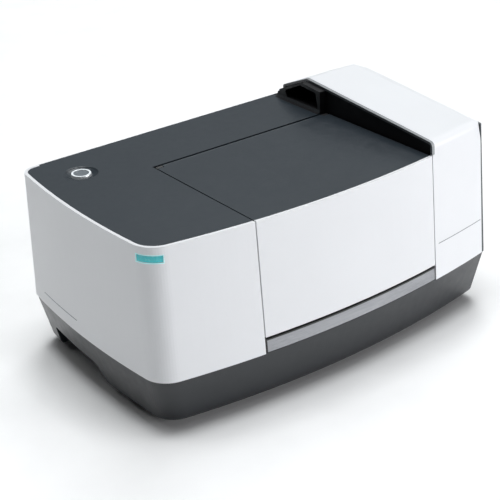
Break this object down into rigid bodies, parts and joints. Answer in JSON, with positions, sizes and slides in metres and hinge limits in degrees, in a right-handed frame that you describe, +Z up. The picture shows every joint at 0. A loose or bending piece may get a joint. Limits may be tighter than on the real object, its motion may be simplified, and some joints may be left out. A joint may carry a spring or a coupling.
{
  "type": "infrared spectrophotometer",
  "caption": "Compact bench infrared spectrophotometer with a hinged sample compartment lid, raised tower, power button and optics inside.",
  "frame": {"origin": "centre of the bounding box's underside, on the bench", "axes": "+X to the right along the width, +Y to the back, +Z up; the front faces -Y"},
  "size_m": [0.39, 0.2424, 0.207],
  "materials": {
    "dark_base": "fine moulded texture, dark grey",
    "white_cover": "satin white",
    "dark_top": "fine moulded texture, slate grey",
    "black_wall": "matte black",
    "grey_trim": "satin grey",
    "side_panel": "matte dark grey powder coat",
    "rear_panel": "matte dark grey powder coat",
    "brushed_strip": "brushed along its length",
    "dark_inner": "moulded, dark",
    "tub_liner": "matte black anodised",
    "seal_rubber": "soft sealing rubber",
    "foot_rubber": "moulded rubber",
    "steel_pin": "ground steel",
    "zinc_bracket": "black coated steel",
    "machined_alu": "machined",
    "cast_alu": "cast, bead blasted",
    "salt_window": "polished optical disc",
    "zinc_sheet": "zinc plated sheet",
    "optic_coating": "polished mirror coating",
    "optic_mount": "black anodised",
    "coil_copper": "enamelled copper wire",
    "magnet_steel": "nickel plated",
    "ceramic": "unglazed ceramic",
    "laser_black": "black anodised",
    "gold_can": "gold plated can",
    "circuit_board": "solder mask with parts",
    "clear_cartridge": "moulded cartridge",
    "black_cap": "moulded black",
    "fan_plastic": "glass filled plastic",
    "inlet_plastic": "moulded black",
    "port_metal": "nickel plated shell",
    "purge_brass": "nickel free brass",
    "button_cap": "satin grey",
    "button_chrome": "polished ring",
    "spring_steel": "spring wire",
    "switch_plastic": "moulded black",
    "light_guide": "translucent teal light guide",
    "screw_steel": "black zinc"
  },
  "bodies": {
    "casing": {"base_tray": "dark_base", "rubber_feet": "foot_rubber", "left_cover": "white_cover", "top_cover": "dark_top", "tower_cover": "white_cover", "tower_wall": "black_wall", "rim_trim": "grey_trim", "right_panel": "side_panel", "rear_panel": "rear_panel", "front_strip": "brushed_strip", "compartment_seal": "seal_rubber", "hinge_brackets": "zinc_bracket", "hinge_pins": "steel_pin", "sample_tub": "tub_liner", "accessory_plate": "machined_alu", "window_discs": "salt_window", "window_rings": "machined_alu", "chassis_plate": "zinc_sheet", "bench_isolators": "foot_rubber", "optical_bench": "cast_alu", "interferometer_housing": "cast_alu", "interferometer_cover": "cast_alu", "beam_splitter": "salt_window", "beam_splitter_mount": "optic_mount", "fixed_mirror": "optic_coating", "slide_frame": "machined_alu", "guide_rods": "steel_pin", "magnet_yoke": "magnet_steel", "ir_source": "ceramic", "source_housing": "cast_alu", "collimating_mirror": "optic_coating", "laser_module": "laser_black", "detector_mirror": "optic_coating", "detector_can": "gold_can", "detector_board": "circuit_board", "desiccant_cartridge": "clear_cartridge", "main_board": "circuit_board", "power_supply": "zinc_sheet", "fan_housing": "fan_plastic", "power_inlet": "inlet_plastic", "data_port": "port_metal", "purge_port": "purge_brass", "button_bezel": "button_chrome", "button_spring": "spring_steel", "button_switch": "switch_plastic", "status_window": "light_guide", "status_board": "circuit_board", "cover_screws": "screw_steel"},
    "lid": {"lid_top": "dark_top", "lid_front": "white_cover", "lid_liner": "dark_inner"},
    "mirror_slide": {"mirror_carriage": "optic_mount", "moving_mirror": "optic_coating", "drive_coil": "coil_copper"},
    "fan_wheel": {"fan_rotor": "fan_plastic"},
    "switch_rocker": {"rocker_switch": "inlet_plastic"},
    "holder": {"sample_holder": "machined_alu"},
    "cap": {"desiccant_cap": "black_cap"},
    "button": {"power_button": "button_cap"}
  },
  "joints": [
    {"name": "lid_hinge", "type": "hinge", "parent": "casing", "child": "lid", "pos_m": [0.0136, 0.0422, 0.1765], "axis": [-1, 0, 0], "range_deg": [0, 85]},
    {"name": "button_press", "type": "slide", "parent": "casing", "child": "button", "axis": [0, 0, -1], "range_m": [0, 0.0012], "stiffness_N_per_m": 900, "springref_m": -0.0006, "deforming": ["button_spring"]},
    {"name": "mirror_travel", "type": "slide", "parent": "casing", "child": "mirror_slide", "axis": [0, 1, 0], "range_m": [-0.005, 0.005]},
    {"name": "fan_spin", "type": "hinge", "parent": "casing", "child": "fan_wheel", "pos_m": [0.07, 0.108, 0.095], "axis": [0, 1, 0], "continuous": true},
    {"name": "rocker_tilt", "type": "hinge", "parent": "casing", "child": "switch_rocker", "pos_m": [-0.025, 0.1127, 0.106], "axis": [1, 0, 0], "range_deg": [0, 16]},
    {"name": "holder_lift", "type": "slide", "parent": "casing", "child": "holder", "axis": [0, 0, 1], "range_m": [0, 0.022]},
    {"name": "cap_turn", "type": "hinge", "parent": "casing", "child": "cap", "pos_m": [0.156, 0.1172, 0.1], "axis": [0, 1, 0], "range_deg": [-90, 0]}
  ]
}
